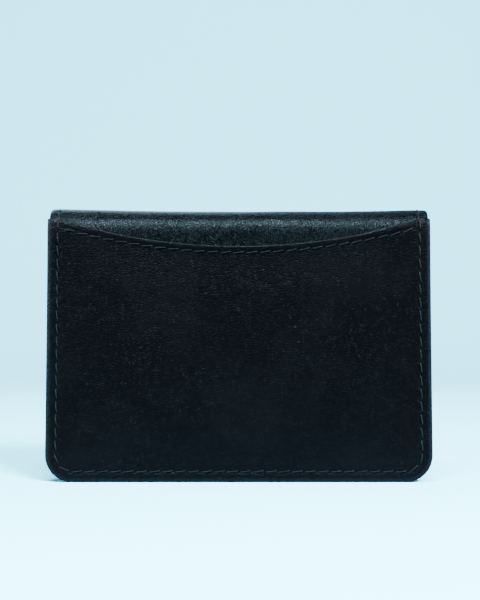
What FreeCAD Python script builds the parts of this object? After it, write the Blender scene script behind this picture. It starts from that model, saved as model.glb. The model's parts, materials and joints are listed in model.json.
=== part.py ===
import FreeCAD, Part
import Sketcher
import math
import os

# A folding leather card holder, closed and standing on the free edges of its two covers.
#
# One hide makes both covers and the fold between them. Along the fold it is cut into three rigid
# pieces here: the front cover, the spine in the middle of the fold, and the back cover. Outside the
# front cover is a slip pocket with a hollowed mouth. Inside the front cover are three card slots, one
# behind another, and inside the back cover is a bellows pocket for a stack of cards.
#
# Frame, in millimetres: +X along the fold, +Y towards the back cover, +Z up to the fold. The origin is
# under the middle of the closed holder, on the surface that it stands on.

SIZES = [
    ("cover_height", 74.2, "from the free edge to the top of the fold"),
    ("cover_width", 102.8, "along the fold"),
    ("base_flare", 0.8, "how much further out each side is at the free edge"),
    ("corner_radius", 7.5, "corners at the free edge"),
    ("shell_thick", 1.1, "outer leather"),
    ("board_thick", 0.5, "stiffening board, and the tape that carries on round the fold"),
    ("lining_thick", 0.4, "inner lining"),
    ("inner_inset", 0.8, "how far board, lining and slots stay inside the outer leather's edge"),
    ("fold_gap", 0.15, "gap between the spine and each cover, measured on the outside"),
    ("pocket_thick", 0.9, "slip pocket's leather"),
    ("hem_thick", 0.4, "slip pocket's turned-in hems"),
    ("hem_width", 6.0, "slip pocket's turned-in hems"),
    ("pocket_overhang", 0.35, "how far the slip pocket wraps past each side of the cover"),
    ("pocket_drop", 3.4, "from the top of the fold down to the slip pocket's upper corners"),
    ("mouth_chord", 96.0, "width of the hollow in the slip pocket's mouth"),
    ("mouth_dip", 7.0, "depth of the hollow in the slip pocket's mouth"),
    ("slot_count", 3, "card slots"),
    ("slot_thick", 0.7, "leather of one card slot"),
    ("slot_step", 11.0, "each slot's mouth stands this far above the next one's"),
    ("slot_drop", 8.0, "from the start of the fold down to the highest slot's mouth"),
    ("closed_gap", 2.1, "free space between slots and bellows pocket when closed"),
    ("wall_thick", 0.9, "bellows pocket's wall"),
    ("wall_lining", 0.3, "lining of that wall"),
    ("wall_clear", 0.6, "from the cover's seam in to the wall's sides and base"),
    ("wall_drop", 9.0, "from the start of the fold down to the bellows pocket's mouth"),
    ("wall_travel", 2.6, "how far the wall moves back as the bellows folds flat"),
    ("notch_radius", 13.0, "thumb notch in the wall"),
    ("notch_depth", 8.0, "thumb notch in the wall"),
    ("gusset_thick", 0.5, "bellows strip"),
    ("gusset_crease", 2.2, "how far its crease is tucked in"),
    ("gusset_flange", 2.6, "its front flange, behind the wall"),
    ("gusset_margin", 0.7, "how far its back flange reaches past the cover's seam"),
    ("gusset_inner_corner", 0.8, "radius at the front flange's inner edge"),
    ("gusset_clearance", 0.05, "between the strip's flange and the moving wall"),
    ("seam_inset", 2.6, "cover's seam, from the cover's sides"),
    ("seam_base", 2.9, "cover's seam, from the free edge"),
    ("seam_corner", 4.9, "radius of the seam's corners"),
    ("mouth_seam_inset", 1.9, "from the slip pocket's mouth to its seam"),
    ("wall_seam_inset", 2.2, "from the bellows wall's sides to its seam"),
    ("stitch_pitch", 3.5, "from one stitch to the next"),
    ("stitch_length", 2.7, "the part of a stitch that shows"),
    ("thread_radius", 0.28, "sewing thread"),
]

doc = FreeCAD.newDocument("card_holder")
sheet = doc.addObject("Spreadsheet::Sheet", "Sizes")
for row, (alias, number, note) in enumerate(SIZES, start=1):
    sheet.set(f"A{row}", note)
    sheet.set(f"B{row}", str(number))
    sheet.setAlias(f"B{row}", alias)
doc.recompute()

# Places that follow from the sizes, as expressions. Radii are counted from the fold's own axis.
SLOTS = "(Sizes.slot_count * Sizes.slot_thick)"
WALL = "(Sizes.wall_thick + Sizes.wall_lining)"
CARD_ROOM = "(Sizes.wall_travel + 4 * Sizes.gusset_thick)"
LINING_IN = f"(({SLOTS} + Sizes.closed_gap + {WALL} + {CARD_ROOM}) / 2)"
LINING_OUT = f"({LINING_IN} + Sizes.lining_thick)"
SHELL_IN = f"({LINING_OUT} + Sizes.board_thick)"
SHELL_OUT = f"({SHELL_IN} + Sizes.shell_thick)"
POCKET_IN = f"({SHELL_OUT} + Sizes.hem_thick)"
FOLD_START = f"(Sizes.cover_height - {SHELL_OUT})"
FOLD_Y = "((Sizes.pocket_thick + Sizes.hem_thick) / 2)"
WALL_HALF = "(Sizes.cover_width / 2 - Sizes.seam_inset - Sizes.wall_clear)"
WALL_BASE = "(Sizes.seam_base + Sizes.wall_clear)"
GUSSET_HEM = "(Sizes.wall_clear + Sizes.base_flare + Sizes.gusset_margin)"
WALL_TOP = f"({FOLD_START} - Sizes.wall_drop)"
WALL_CORNER = "(Sizes.gusset_flange + Sizes.gusset_inner_corner)"
WALL_BACK = f"({LINING_IN} - {CARD_ROOM})"
CAVITY_HALF = "(Sizes.cover_width / 2 - Sizes.hem_width)"
POCKET_TOP = "(Sizes.cover_height - Sizes.pocket_drop)"
MOUTH_RADIUS = "((Sizes.mouth_chord ^ 2 / 4 + Sizes.mouth_dip ^ 2) / (2 * Sizes.mouth_dip))"


def value(expression):
    """The number that an expression comes to."""
    return float(sheet.evalExpression(str(expression)))


def half_width(height, inset="0"):
    """Half the cover's width at a height: its sides flare out towards the free edge."""
    return f"(Sizes.cover_width / 2 + Sizes.base_flare * (1 - {height} / {FOLD_START}) - {inset})"


# ---------------------------------------------------------------- sketches and features


def new_body(label):
    body = doc.addObject("PartDesign::Body", label)
    body.Label = label
    return body


def new_sketch(body, role, name):
    """An empty sketch on one of the body's own origin planes."""
    sketch = body.newObject("Sketcher::SketchObject", f"{body.Name}_{name}")
    plane = next(f for f in body.Origin.OriginFeatures if f.Role == role)
    sketch.AttachmentSupport = (plane, "")
    sketch.MapMode = "FlatFace"
    return sketch


def edge_between(first, second, arc):
    """A straight edge, or the shorter arc of a radius that bulges to the left (+1) or right (-1)."""
    a, b = (FreeCAD.Vector(value(x), value(y), 0) for x, y in (first, second))
    if arc is None:
        return Part.LineSegment(a, b), 1, 2
    radius, side = value(arc[0]), arc[1]
    chord = b - a
    left = FreeCAD.Vector(-chord.y, chord.x, 0).normalize()
    rise = math.sqrt(max(radius**2 - (chord.Length / 2) ** 2, 0))
    centre = (a + b) / 2 - left * side * rise
    start, stop = (b, a) if side > 0 else (a, b)
    angles = [math.atan2(p.y - centre.y, p.x - centre.x) for p in (start, stop)]
    circle = Part.Circle(centre, FreeCAD.Vector(0, 0, 1), radius)
    shape = Part.ArcOfCircle(circle, angles[0], angles[1])
    return (shape, 2, 1) if side > 0 else (shape, 1, 2)


def pin_down(sketch, geometry, point, corner):
    """Ties one point of the sketch to its two expressions."""
    for kind, axis, expression in (("DistanceX", -2, corner[0]), ("DistanceY", -1, corner[1])):
        if str(expression) == "0":
            sketch.addConstraint(Sketcher.Constraint("PointOnObject", geometry, point, axis))
            continue
        rule = Sketcher.Constraint(kind, -1, 1, geometry, point, value(expression))
        index = sketch.addConstraint(rule)
        sketch.setExpression(f"Constraints[{index}]", str(expression))


def trace(sketch, corners, closed=True):
    """Draws edges from corner to corner. A corner is (x, y), or (x, y, (radius, side)) where an
    arc leaves it. Everything is an expression, so the sketch follows the sheet."""
    drawn = []
    count = len(corners) if closed else len(corners) - 1
    for i in range(count):
        here, there = corners[i], corners[(i + 1) % len(corners)]
        arc = here[2] if len(here) > 2 else None
        shape, first, second = edge_between(here[:2], there[:2], arc)
        index = sketch.addGeometry(shape, False)
        drawn.append((index, first, second))
        pin_down(sketch, index, first, here)
        if arc:
            rule = sketch.addConstraint(Sketcher.Constraint("Radius", index, value(arc[0])))
            sketch.setExpression(f"Constraints[{rule}]", str(arc[0]))
    if not closed:
        pin_down(sketch, drawn[-1][0], drawn[-1][2], corners[-1])
    for i in range(count if closed else count - 1):
        (a, _, end), (b, start, _) = drawn[i], drawn[(i + 1) % count]
        sketch.addConstraint(Sketcher.Constraint("Coincident", a, end, b, start))


def pad(body, sketch, length, both_ways=False):
    feature = body.newObject("PartDesign::Pad", f"{body.Name}_pad")
    feature.Profile = sketch
    feature.setExpression("Length", str(length))
    feature.Midplane = both_ways
    sketch.Visibility = False
    return feature


def cut_through(body, sketch):
    feature = body.newObject("PartDesign::Pocket", f"{body.Name}_cut")
    feature.Profile = sketch
    feature.Type = "ThroughAll"
    feature.Midplane = True
    return feature


def round_edges(body, radius, chosen):
    """Fillets those edges of the body's last feature that chosen(edge) picks."""
    doc.recompute()
    base = body.Tip
    names = [f"Edge{i}" for i, e in enumerate(base.Shape.Edges, start=1) if chosen(e)]
    feature = body.newObject("PartDesign::Fillet", f"{body.Name}_round")
    feature.Base = (base, names)
    feature.setExpression("Radius", str(radius))
    return feature


def lower_corner(height):
    """Picks the straight edges along Y at a height: the lower corners of a plate."""

    def chosen(edge):
        box = edge.BoundBox
        along_y = box.YLength > 0.01 and box.XLength < 1e-6 and box.ZLength < 1e-6
        return along_y and abs(box.ZMin - value(height)) < 1e-6

    return chosen


def plate(label, front_to_back, thickness, corners):
    """A flat piece: its outline padded towards the front from the plane y = front_to_back."""
    body = new_body(label)
    sketch = new_sketch(body, "XZ_Plane", "outline")
    trace(sketch, corners)
    pad(body, sketch, thickness)
    body.setExpression("Placement.Base.y", f"{FOLD_Y} + {front_to_back}")
    return body


def cover_corners(base, top, inset, overhang="0"):
    """The four corners of a piece that follows the cover's flared sides."""
    low = half_width(base, f"({inset} - {overhang})")
    high = half_width(top, f"({inset} - {overhang})")
    return [(f"-{low}", base), (low, base), (high, top), (f"-{high}", top)]


# ---------------------------------------------------------------- leather that goes round the fold

GAP_ANGLE = f"(Sizes.fold_gap / (2 * {SHELL_OUT}) * 180 / pi)"


def on_fold(radius, angle):
    """The (y, z) of a point of the fold: 0 degrees is the front cover's side, 90 the top."""
    return (f"-{radius} * cos({angle})", f"{FOLD_START} + {radius} * sin({angle})")


def fold_section(label, inner, outer, base=None, width=None):
    """A layer's cross-section, padded both ways along X. With a base it is a cover's layer: the
    flat part from that height up, and the first eighth of the fold. With none it is only the
    eighth. The spine's quarter is made by spine_layer."""
    body = new_body(label)
    sketch = new_sketch(body, "YZ_Plane", "section")
    end = f"(45 - {GAP_ANGLE})"
    start = [("-" + outer, FOLD_START, (outer, 1)), (*on_fold(outer, end),)]
    back = [(*on_fold(inner, end), (inner, -1)), ("-" + inner, FOLD_START)]
    flat = [] if base is None else [("-" + inner, base), ("-" + outer, base)]
    trace(sketch, start + back + flat)
    pad(body, sketch, width, both_ways=True)
    body.setExpression("Placement.Base.y", FOLD_Y)
    return body


def spine_layer(label, inner, outer, inset):
    """The middle quarter of the fold in one layer."""
    body = new_body(label)
    sketch = new_sketch(body, "YZ_Plane", "section")
    low, high = f"(45 + {GAP_ANGLE})", f"(135 - {GAP_ANGLE})"
    corners = [
        (*on_fold(outer, low), (outer, 1)),
        on_fold(outer, high),
        (*on_fold(inner, high), (inner, -1)),
        on_fold(inner, low),
    ]
    trace(sketch, corners)
    pad(body, sketch, f"Sizes.cover_width - 2 * {inset}", both_ways=True)
    body.setExpression("Placement.Base.y", FOLD_Y)
    return body


def outline_block(label, base, inset, radius):
    """A block with the cover's outline, deep enough to trim any layer of the cover."""
    body = new_body(label)
    sketch = new_sketch(body, "XZ_Plane", "outline")
    low, high = half_width(base, inset), half_width(FOLD_START, inset)
    top = "Sizes.cover_height"
    corners = [(f"-{low}", base), (low, base), (high, FOLD_START), (high, top)]
    corners += [(f"-{high}", top), (f"-{high}", FOLD_START)]
    trace(sketch, corners)
    pad(body, sketch, f"4 * {SHELL_OUT}", both_ways=True)
    round_edges(body, radius, lower_corner(base))
    body.setExpression("Placement.Base.y", FOLD_Y)
    return body


def cover_layer(label, inner, outer, base, block):
    """One layer of the front cover, cut to the cover's outline."""
    section = fold_section(f"{label}_section", inner, outer, base, "2 * Sizes.cover_width")
    layer = doc.addObject("Part::Common", label)
    layer.Label = label
    layer.Base = section
    layer.Tool = block
    return layer


def mirrored(label, source):
    """The same piece on the back cover, mirrored in the plane of the fold's axis."""
    twin = doc.addObject("Part::Mirroring", label)
    twin.Label = label
    twin.Source = source
    twin.Normal = FreeCAD.Vector(0, 1, 0)
    twin.setExpression("Base.y", FOLD_Y)
    return twin


def make_covers():
    """Shells, linings, boards and fold tapes of both covers, and the spine's three layers."""
    inset = "Sizes.inner_inset"
    inner_corner = f"(Sizes.corner_radius - {inset})"
    outer_block = outline_block("shell_outline", "0", "0", "Sizes.corner_radius")
    inner_block = outline_block("lining_outline", inset, inset, inner_corner)
    front_shell = cover_layer("front_shell", SHELL_IN, SHELL_OUT, "0", outer_block)
    front_lining = cover_layer("front_lining", LINING_IN, LINING_OUT, inset, inner_block)
    front_board = plate(
        "front_board", f"-{LINING_OUT}", "Sizes.board_thick", cover_corners(inset, FOLD_START, inset)
    )
    round_edges(front_board, inner_corner, lower_corner(inset))
    tape_width = f"Sizes.cover_width - 2 * {inset}"
    front_tape = fold_section("front_fold_tape", LINING_OUT, SHELL_IN, width=tape_width)
    spine = [
        spine_layer("spine_shell", SHELL_IN, SHELL_OUT, "0"),
        spine_layer("spine_tape", LINING_OUT, SHELL_IN, inset),
        spine_layer("spine_lining", LINING_IN, LINING_OUT, inset),
    ]
    front = [front_shell, front_board, front_tape, front_lining]
    back = [mirrored(p.Label.replace("front", "back"), p) for p in front]
    return front + spine + back


# ---------------------------------------------------------------- slip pocket outside the front cover


def pocket_corners():
    """Outline of the slip pocket, with the hollow of its mouth."""
    low = half_width("0", "(0 - Sizes.pocket_overhang)")
    high = half_width(POCKET_TOP, "(0 - Sizes.pocket_overhang)")
    mouth = "Sizes.mouth_chord / 2"
    return [
        (f"-{low}", "0"),
        (low, "0"),
        (high, POCKET_TOP),
        (mouth, POCKET_TOP, (MOUTH_RADIUS, 1)),
        (f"-{mouth}", POCKET_TOP),
        (f"-{high}", POCKET_TOP),
    ]


def make_slip_pocket():
    """The pocket's face, the hem turned in along three sides, and the hem along its mouth. The
    hems hold the face off the cover, which leaves the flat room for a card between them."""
    radius = "Sizes.corner_radius + Sizes.pocket_overhang"
    face = plate("slip_pocket_face", f"-{POCKET_IN}", "Sizes.pocket_thick", pocket_corners())
    round_edges(face, radius, lower_corner("0"))

    hem = plate("slip_pocket_hem", f"-{SHELL_OUT}", "Sizes.hem_thick", pocket_corners())
    round_edges(hem, radius, lower_corner("0"))
    room = new_sketch(hem, "XZ_Plane", "card_room")
    base, top = "Sizes.hem_width", "Sizes.cover_height"
    corners = [(f"-{CAVITY_HALF}", base), (CAVITY_HALF, base), (CAVITY_HALF, top), (f"-{CAVITY_HALF}", top)]
    trace(room, corners)
    cut_through(hem, room)

    # The mouth's hem is the band between the hollow and the same arc lower down.
    half = f"({CAVITY_HALF} - 0.2)"
    centre = f"({POCKET_TOP} - Sizes.mouth_dip + {MOUTH_RADIUS})"
    outer_radius = f"({MOUTH_RADIUS} + Sizes.hem_width)"
    upper = f"({centre} - sqrt({MOUTH_RADIUS} ^ 2 - {half} ^ 2))"
    lower = f"({centre} - sqrt({outer_radius} ^ 2 - {half} ^ 2))"
    band = [
        (f"-{half}", lower, (outer_radius, -1)),
        (half, lower),
        (half, upper, (MOUTH_RADIUS, 1)),
        (f"-{half}", upper),
    ]
    mouth_hem = plate("slip_pocket_mouth_hem", f"-{SHELL_OUT}", "Sizes.hem_thick", band)
    return [face, hem, mouth_hem]


# ---------------------------------------------------------------- card slots inside the front cover


def make_card_slots():
    """Flat leather faces, each in front of the one before and with a lower mouth. The first one
    lies on the lining."""
    slots = []
    base = "Sizes.inner_inset"
    radius = "(Sizes.corner_radius - Sizes.inner_inset)"
    for number in range(int(value("Sizes.slot_count"))):
        top = f"({FOLD_START} - Sizes.slot_drop - {number} * Sizes.slot_step)"
        plane = f"({number + 1} * Sizes.slot_thick - {LINING_IN})"
        corners = cover_corners(base, top, "Sizes.inner_inset")
        slot = plate(f"card_slot_{number + 1}", plane, "Sizes.slot_thick", corners)
        round_edges(slot, radius, lower_corner(base))
        slots.append(slot)
    return slots


# ---------------------------------------------------------------- bellows pocket inside the back cover


def wall_corners():
    """Outline of the bellows pocket's wall, with the thumb notch in its mouth."""
    reach = "sqrt(Sizes.notch_radius ^ 2 - (Sizes.notch_radius - Sizes.notch_depth) ^ 2)"
    return [
        (f"-{WALL_HALF}", WALL_BASE),
        (WALL_HALF, WALL_BASE),
        (WALL_HALF, WALL_TOP),
        (reach, WALL_TOP, ("Sizes.notch_radius", 1)),
        (f"-{reach}", WALL_TOP),
        (f"-{WALL_HALF}", WALL_TOP),
    ]


def make_wall():
    """The wall and its lining move together."""
    wall = plate(
        "bellows_wall", f"({WALL_BACK} - Sizes.wall_lining)", "Sizes.wall_thick", wall_corners()
    )
    lining = plate("bellows_wall_lining", WALL_BACK, "Sizes.wall_lining", wall_corners())
    for body in (wall, lining):
        round_edges(body, WALL_CORNER, lower_corner(WALL_BASE))
    return [wall, lining]


def make_gusset():
    """One strip that runs down one side of the wall, along its base and up the other side. Its
    section has a front flange behind the wall, a crease tucked inwards and a back flange on the
    lining, under the cover's seam."""
    body = new_body("bellows_gusset")
    path = new_sketch(body, "XZ_Plane", "path")
    base, radius, half = WALL_BASE, WALL_CORNER, WALL_HALF
    turn = f"({half} - {radius})"
    corners = [
        (half, WALL_TOP),
        (half, f"({base} + {radius})", (radius, 1)),
        (turn, base),
        (f"-{turn}", base, (radius, 1)),
        (f"-{half}", f"({base} + {radius})"),
        (f"-{half}", WALL_TOP),
    ]
    trace(path, corners, closed=False)

    # Each bend of the strip's section, as (distance in from the wall's side, y from the wall's back).
    thick = "Sizes.gusset_thick"
    front, back = "Sizes.gusset_clearance", CARD_ROOM
    middle = f"(({front} + {back}) / 2)"
    slack = f"({thick} * 1.1)"
    profile = new_sketch(body, "XY_Plane", "section")
    profile.setExpression("AttachmentOffset.Base.z", WALL_TOP)
    outline = [
        ("Sizes.gusset_flange", front),
        ("0", front),
        (f"({thick} * 0.2)", f"({front} + {thick} * 0.5)"),
        (f"(Sizes.gusset_crease - {slack} / 2)", middle),
        (f"({thick} * 0.2)", f"({back} - {thick})"),
        (f"-{GUSSET_HEM}", f"({back} - {thick})"),
        (f"-{GUSSET_HEM}", back),
        (f"({thick} * 1.1)", back),
        (f"({thick} * 1.1)", f"({back} - {thick} * 0.6)"),
        (f"(Sizes.gusset_crease + {slack} / 2)", middle),
        (f"({thick} * 1.4)", f"({front} + {thick})"),
        ("Sizes.gusset_flange", f"({front} + {thick})"),
    ]
    trace(profile, [(f"({half} - {u})", v) for u, v in outline])
    strip = body.newObject("PartDesign::AdditivePipe", "bellows_gusset_pipe")
    strip.Profile = profile
    strip.Spine = (path, [])
    body.setExpression("Placement.Base.y", f"{FOLD_Y} + {WALL_BACK}")
    return body


# ---------------------------------------------------------------- sewing


def stitch(middle, along, outward):
    """One stitch: a half-round bead lying on the leather, flat side down."""
    radius, length = value("Sizes.thread_radius"), value("Sizes.stitch_length")
    left, top, right = (FreeCAD.Vector(-length / 2, y, z) for y, z in ((-radius, 0), (0, radius), (radius, 0)))
    section = Part.Face(Part.Wire([Part.Arc(left, top, right).toShape(), Part.makeLine(right, left)]))
    bead = section.extrude(FreeCAD.Vector(length, 0, 0))
    across = outward.cross(along)
    turned = FreeCAD.Matrix(
        along.x, across.x, outward.x, middle.x,
        along.y, across.y, outward.y, middle.y,
        along.z, across.z, outward.z, middle.z,
        0, 0, 0, 1,
    )  # fmt: skip
    bead.Placement = FreeCAD.Placement(turned)
    return bead


def along_route(route):
    """Middles and directions of evenly spaced stitches on a wire."""
    count = max(1, int(route.Length / value("Sizes.stitch_pitch")))
    points = route.discretize(Number=2 * count + 1)
    found = []
    for i in range(count):
        start, middle, end = points[2 * i : 2 * i + 3]
        found.append((middle, (end - start).normalize()))
    return found


def sewn(label, beads):
    row = doc.addObject("Part::Feature", label)
    row.Label = label
    row.Shape = Part.makeCompound(beads)
    return row


def u_route(half_low, half_high, base, top, radius):
    """A wire in the XZ plane: down the left side, along the base and up the right side."""
    points = [(-half_high, top), (-half_low, base + radius), (-half_low + radius, base)]
    points += [(-x, z) for x, z in reversed(points)]
    a, b, c, d, e, f = (FreeCAD.Vector(x, 0, z) for x, z in points)
    bend = radius * (1 - math.sqrt(0.5))
    left = FreeCAD.Vector(-half_low + bend, 0, base + bend)
    right = FreeCAD.Vector(half_low - bend, 0, base + bend)
    edges = [
        Part.makeLine(a, b),
        Part.Arc(b, left, c).toShape(),
        Part.makeLine(c, d),
        Part.Arc(d, right, e).toShape(),
        Part.makeLine(e, f),
    ]
    return Part.Wire(edges)


def cover_seam_route(top):
    """The seam of a cover, up to a height."""
    inset, base = value("Sizes.seam_inset"), value("Sizes.seam_base")
    half_low, half_high = (value(half_width(str(z))) - inset for z in (base, top))
    return u_route(half_low, half_high, base, top, value("Sizes.seam_corner"))


def layers_at(height):
    """How many card slots lie on the lining at a height."""
    mouth = value(FOLD_START) - value("Sizes.slot_drop")
    step, count = value("Sizes.slot_step"), int(value("Sizes.slot_count"))
    return sum(1 for number in range(count) if height < mouth - number * step)


def flat_row(label, route, plane_at, outward):
    """A row of stitches on flat leather. plane_at gives the leather's y under a stitch's lower end."""
    beads = []
    for middle, along in along_route(route):
        lowest = middle.z - abs(along.z) * value("Sizes.stitch_length") / 2
        beads.append(stitch(FreeCAD.Vector(middle.x, plane_at(lowest), middle.z), along, outward))
    return sewn(label, beads)


def spine_row(label, radius, side):
    """Stitches that carry the side seams over the spine, on its outside (+1) or inside (-1)."""
    arc = value(SHELL_OUT) * math.radians(90)
    count = max(1, int(arc / value("Sizes.stitch_pitch")))
    start, step = 45.0, 90.0 / count
    x = value("Sizes.cover_width / 2 - Sizes.seam_inset")
    fold_y, fold_z = value(FOLD_Y), value(FOLD_START)
    sagitta = value("Sizes.stitch_length") ** 2 / (8 * radius) if side < 0 else 0.0
    beads = []
    for number in range(count):
        angle = math.radians(start + step * (number + 0.5))
        outward = FreeCAD.Vector(0, -math.cos(angle), math.sin(angle)) * side
        along = FreeCAD.Vector(0, math.sin(angle), math.cos(angle))
        reach = radius * side + sagitta
        middle = FreeCAD.Vector(0, fold_y, fold_z) + outward * reach
        for sign in (-1, 1):
            beads.append(stitch(middle + FreeCAD.Vector(sign * x, 0, 0), along, outward))
    return sewn(label, beads)


def mouth_row():
    """Stitches below the slip pocket's mouth, on the same centre as its hollow."""
    radius = value(MOUTH_RADIUS) + value("Sizes.mouth_seam_inset")
    centre_z = value(f"{POCKET_TOP} - Sizes.mouth_dip + {MOUTH_RADIUS}")
    half = value("Sizes.cover_width / 2 - Sizes.seam_inset") - value("Sizes.stitch_pitch")
    end_z = centre_z - math.sqrt(radius**2 - half**2)
    low = FreeCAD.Vector(0, 0, centre_z - radius)
    ends = [FreeCAD.Vector(x, 0, end_z) for x in (-half, half)]
    route = Part.Wire([Part.Arc(ends[0], low, ends[1]).toShape()])
    outside = value(FOLD_Y) - value(POCKET_IN) - value("Sizes.pocket_thick")
    return flat_row("slip_pocket_mouth_thread", route, lambda z: outside, FreeCAD.Vector(0, -1, 0))


def make_threads():
    """Every row of stitches, one node for each side of each seam."""
    front, back = FreeCAD.Vector(0, -1, 0), FreeCAD.Vector(0, 1, 0)
    fold_y, fold_start = value(FOLD_Y), value(FOLD_START)
    seam = cover_seam_route(fold_start)
    pocket_face = fold_y - value(POCKET_IN) - value("Sizes.pocket_thick")
    back_face = fold_y + value(SHELL_OUT)
    lining = value(LINING_IN)
    slot = value("Sizes.slot_thick")
    gusset_top, gusset_thick = value(WALL_TOP), value("Sizes.gusset_thick")
    wall_inset = value("Sizes.wall_seam_inset")
    wall_half = value(WALL_HALF) - wall_inset
    wall_face = fold_y + value(WALL_BACK) - value(WALL)
    wall_base = value(WALL_BASE) + wall_inset
    wall_seam = u_route(wall_half, wall_half, wall_base, gusset_top - 1.0, value(WALL_CORNER) - wall_inset)
    return [
        flat_row("front_seam_thread_outside", seam, lambda z: pocket_face, front),
        flat_row(
            "front_seam_thread_inside", seam, lambda z: fold_y - lining + slot * layers_at(z), back
        ),
        flat_row("back_seam_thread_outside", seam, lambda z: back_face, back),
        flat_row(
            "back_seam_thread_inside",
            seam,
            lambda z: fold_y + lining - (gusset_thick if z < gusset_top else 0.0),
            front,
        ),
        spine_row("spine_seam_thread_outside", value(SHELL_OUT), 1),
        mouth_row(),
        flat_row("bellows_wall_thread", wall_seam, lambda z: wall_face, front),
    ]


# ---------------------------------------------------------------- build, check and write


def main():
    pieces = make_covers() + make_slip_pocket() + make_card_slots() + make_wall()
    pieces += [make_gusset()] + make_threads()
    doc.recompute()
    for item in doc.Objects:
        if {"Invalid", "Error"} & set(item.State):
            raise RuntimeError(f"{item.Label} failed: {item.State}")
    os.makedirs("parts", exist_ok=True)
    for piece in pieces:
        shape = piece.Shape
        if shape.isNull() or not shape.isValid() or not shape.Solids:
            raise RuntimeError(f"{piece.Label} has no valid solid")
        shape.exportStep(os.path.join("parts", f"{piece.Label}.step"))
        box = shape.BoundBox
        print(
            f"{piece.Label:28s} {len(shape.Solids):3d} solids {shape.Volume:9.1f} mm3 "
            f"x {box.XMin:6.2f} {box.XMax:6.2f} y {box.YMin:6.2f} {box.YMax:6.2f} "
            f"z {box.ZMin:6.2f} {box.ZMax:6.2f}"
        )


main()
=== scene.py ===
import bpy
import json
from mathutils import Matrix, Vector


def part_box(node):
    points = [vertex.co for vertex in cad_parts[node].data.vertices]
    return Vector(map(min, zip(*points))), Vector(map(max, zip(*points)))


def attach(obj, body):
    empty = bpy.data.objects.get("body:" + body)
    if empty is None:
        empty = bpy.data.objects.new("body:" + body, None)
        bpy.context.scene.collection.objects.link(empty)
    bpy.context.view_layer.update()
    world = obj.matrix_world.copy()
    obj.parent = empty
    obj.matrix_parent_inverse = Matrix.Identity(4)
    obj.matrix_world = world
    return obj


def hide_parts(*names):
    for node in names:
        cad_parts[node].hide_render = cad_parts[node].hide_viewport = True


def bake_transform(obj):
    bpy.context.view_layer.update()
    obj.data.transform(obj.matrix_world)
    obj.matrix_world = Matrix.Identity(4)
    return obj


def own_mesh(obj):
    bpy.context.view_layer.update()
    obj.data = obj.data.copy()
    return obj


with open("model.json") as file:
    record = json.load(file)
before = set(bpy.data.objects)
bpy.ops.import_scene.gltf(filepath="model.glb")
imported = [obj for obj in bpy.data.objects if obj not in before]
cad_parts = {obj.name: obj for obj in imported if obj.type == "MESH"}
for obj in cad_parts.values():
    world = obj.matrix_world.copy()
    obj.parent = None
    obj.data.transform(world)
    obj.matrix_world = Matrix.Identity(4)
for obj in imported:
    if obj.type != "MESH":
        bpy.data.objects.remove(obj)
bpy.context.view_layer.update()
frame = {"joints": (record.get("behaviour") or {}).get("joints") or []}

# %% [markdown]
# # A folding card holder
#
# The cell above loads the solids that hold the sizes and the hinges, and part_box measures the box that any
# of them fills. Everything made below keeps to those boxes, give or take the height of a stitch.
#
# A card holder is cut from flat leather and sewn. So each piece here starts as a flat pattern too: a
# grid of faces with an outline, which is given its thickness, its turned edges and its puckers while
# it is flat. Only then is it laid on its cover, and the pieces that cross the fold are rolled round
# it. The pattern's own coordinates stay on each piece as an attribute, and the grain of the leather
# follows them round the fold.

# %% Names and units
import json
import math

import bmesh
import bpy
import numpy as np
from mathutils import Matrix, Vector, noise

MM = 0.001
print(f"sizes are written in millimetres, and 1 mm is {MM} of the scene's metres")

# %% [markdown]
# ## Sizes from the frame
#
# The CAD solids already say where everything is. The outer leather gives the fold's radius and its
# axis, and the other layers give their own distances from that axis. All of these are in
# millimetres, counted outwards from the fold's axis, because leather is thought of in millimetres.

# %% Measure the CAD solids


def box_mm(node):
    low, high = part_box(node)
    return np.array(low) / MM, np.array(high) / MM


front_low = box_mm("front_shell")[0]
back_high = box_mm("back_shell")[1]
spine_high = box_mm("spine_shell")[1]
pocket_low, pocket_high = box_mm("slip_pocket_face")
wall_low, wall_high = box_mm("bellows_wall")
gusset_low, gusset_high = box_mm("bellows_gusset")

FOLD_Y = (front_low[1] + back_high[1]) / 2
SHELL = (back_high[1] - front_low[1]) / 2
FOLD_Z = spine_high[2] - SHELL
HALF_TOP = spine_high[0]
POCKET_OVERHANG = 0.35
SEWN_IN = 0.06  # how far the pocket's sides are pulled in by the seam
FLARE = pocket_high[0] - HALF_TOP - POCKET_OVERHANG + SEWN_IN
CORNER = 7.5
FOLD_TOP = FOLD_Z + SHELL * math.pi / 2
print(f"fold axis y {FOLD_Y:.2f} z {FOLD_Z:.2f}, outer radius {SHELL:.2f}, pattern length {FOLD_TOP:.1f}")

# Layers of the covers, as distances from the fold's axis.
LEATHER, BOARD, TURNED_HEM, CLOTH = 1.1, 0.5, 0.65, 0.3
SHELL_BACK = SHELL - LEATHER
BOARD_BACK = SHELL_BACK - BOARD
HEM_BACK = SHELL_BACK - TURNED_HEM
LINING_BACK = HEM_BACK - CLOTH
POCKET_FACE = FOLD_Y - pocket_low[1]
POCKET_BACK = FOLD_Y - pocket_high[1]

# %% [markdown]
# ## Outlines on the flat pattern
#
# On the pattern, x runs along the fold and s runs from the free edge towards the fold. The sides flare out a
# little towards the free edge, and its two corners are round. A distance to the nearest edge is worked out
# for any point, because turned edges, seams, wear and the painted edge sheen all follow the edge.

# %% Pattern outline


def half_width(s):
    """Half the cover's width at a distance from the free edge."""
    below_fold = np.clip(1 - s / FOLD_Z, 0, 1)
    return HALF_TOP + FLARE * below_fold**1.3


def pull_in(s, corner):
    """How far a round corner pulls the side in near the free edge."""
    below = np.clip(corner - s, 0, corner)
    return corner - np.sqrt(corner**2 - below**2)


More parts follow.
